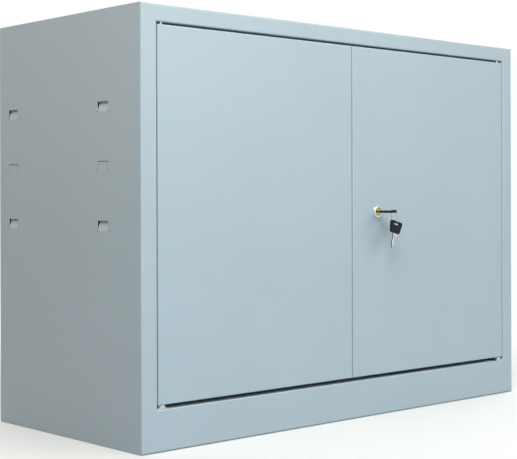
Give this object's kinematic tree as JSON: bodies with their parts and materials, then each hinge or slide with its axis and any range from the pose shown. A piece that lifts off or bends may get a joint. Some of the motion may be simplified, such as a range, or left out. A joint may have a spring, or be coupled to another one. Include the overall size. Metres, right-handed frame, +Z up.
{
  "type": "two-door steel wall cabinet",
  "caption": "Grey steel wall cabinet with two flush hinged doors, a cam lock with its keys, shoot bolts and lift-out shelves resting on lanced wall tabs.",
  "frame": {"origin": "middle of the underside, centred over everything from the wall face to the key ring in front of the lock", "axes": "+X to the right as seen from the front, +Y from the doors to the wall, +Z up; the doors face -Y"},
  "size_m": [0.9, 0.4404, 0.667],
  "materials": {
    "cabinet_paint": "satin powder coat",
    "zinc_plate": "zinc plated",
    "lock_chrome": "polished",
    "lock_brass": "worn polish",
    "key_steel": "nickel plated",
    "black_plastic": "moulded",
    "bush_nylon": "natural nylon",
    "buffer_rubber": "matt"
  },
  "bodies": {
    "cabinet": {"left_side": "cabinet_paint", "right_side": "cabinet_paint", "roof": "cabinet_paint", "base": "cabinet_paint", "back_panel": "cabinet_paint", "door_buffers": "buffer_rubber", "lower_hinge_plates": "zinc_plate", "lower_hinge_pins": "zinc_plate", "pivot_bushes": "bush_nylon", "upper_hinge_pins": "zinc_plate"},
    "left_leaf": {"left_door": "cabinet_paint", "left_door_channel": "cabinet_paint", "left_door_hinge_plates": "zinc_plate", "bolt_guides": "zinc_plate"},
    "right_leaf": {"right_door": "cabinet_paint", "right_door_channel": "cabinet_paint", "right_door_hinge_plates": "zinc_plate", "lock_housing": "lock_chrome", "lock_washer": "zinc_plate", "lock_nut": "zinc_plate"},
    "lock_core": {"lock_plug": "lock_brass", "lock_cam": "zinc_plate", "cam_screw": "zinc_plate"},
    "key": {"key_blade": "key_steel", "key_head": "black_plastic"},
    "ring": {"key_ring": "key_steel"},
    "spare_key": {"spare_key_blade": "key_steel", "spare_key_head": "black_plastic"},
    "upper_shoot_bolt": {"upper_bolt": "zinc_plate", "upper_bolt_knob": "black_plastic"},
    "lower_shoot_bolt": {"lower_bolt": "zinc_plate", "lower_bolt_knob": "black_plastic"},
    "low_shelf": {"lower_shelf": "cabinet_paint"},
    "high_shelf": {"upper_shelf": "cabinet_paint"}
  },
  "joints": [
    {"name": "left_door_swing", "type": "hinge", "parent": "cabinet", "child": "left_leaf", "pos_m": [-0.4098, -0.1723, 0.3335], "axis": [0, 0, -1], "range_deg": [0, 110]},
    {"name": "right_door_swing", "type": "hinge", "parent": "cabinet", "child": "right_leaf", "pos_m": [0.4098, -0.1723, 0.3335], "axis": [0, 0, 1], "range_deg": [0, 110]},
    {"name": "lock_turn", "type": "hinge", "parent": "right_leaf", "child": "lock_core", "pos_m": [0.0625, -0.1778, 0.3535], "axis": [0, 1, 0], "range_deg": [0, 90]},
    {"name": "key_pull", "type": "slide", "parent": "lock_core", "child": "key", "axis": [0, -1, 0], "range_m": [0, 0.03]},
    {"name": "ring_swing", "type": "hinge", "parent": "key", "child": "ring", "pos_m": [0.0669, -0.2131, 0.3563], "axis": [0, 1, 0], "range_deg": [-20, 20]},
    {"name": "spare_key_swing", "type": "hinge", "parent": "ring", "child": "spare_key", "pos_m": [0.0669, -0.2131, 0.3338], "axis": [0, 1, 0], "range_deg": [-40, 30]},
    {"name": "upper_bolt_slide", "type": "slide", "parent": "left_leaf", "child": "upper_shoot_bolt", "axis": [0, 0, 1], "range_m": [0, 0.012]},
    {"name": "lower_bolt_slide", "type": "slide", "parent": "left_leaf", "child": "lower_shoot_bolt", "axis": [0, 0, -1], "range_m": [0, 0.012]},
    {"name": "lower_shelf_lift", "type": "slide", "parent": "cabinet", "child": "low_shelf", "axis": [0, 0, 1], "range_m": [0, 0.015]},
    {"name": "upper_shelf_lift", "type": "slide", "parent": "cabinet", "child": "high_shelf", "axis": [0, 0, 1], "range_m": [0, 0.015]}
  ]
}
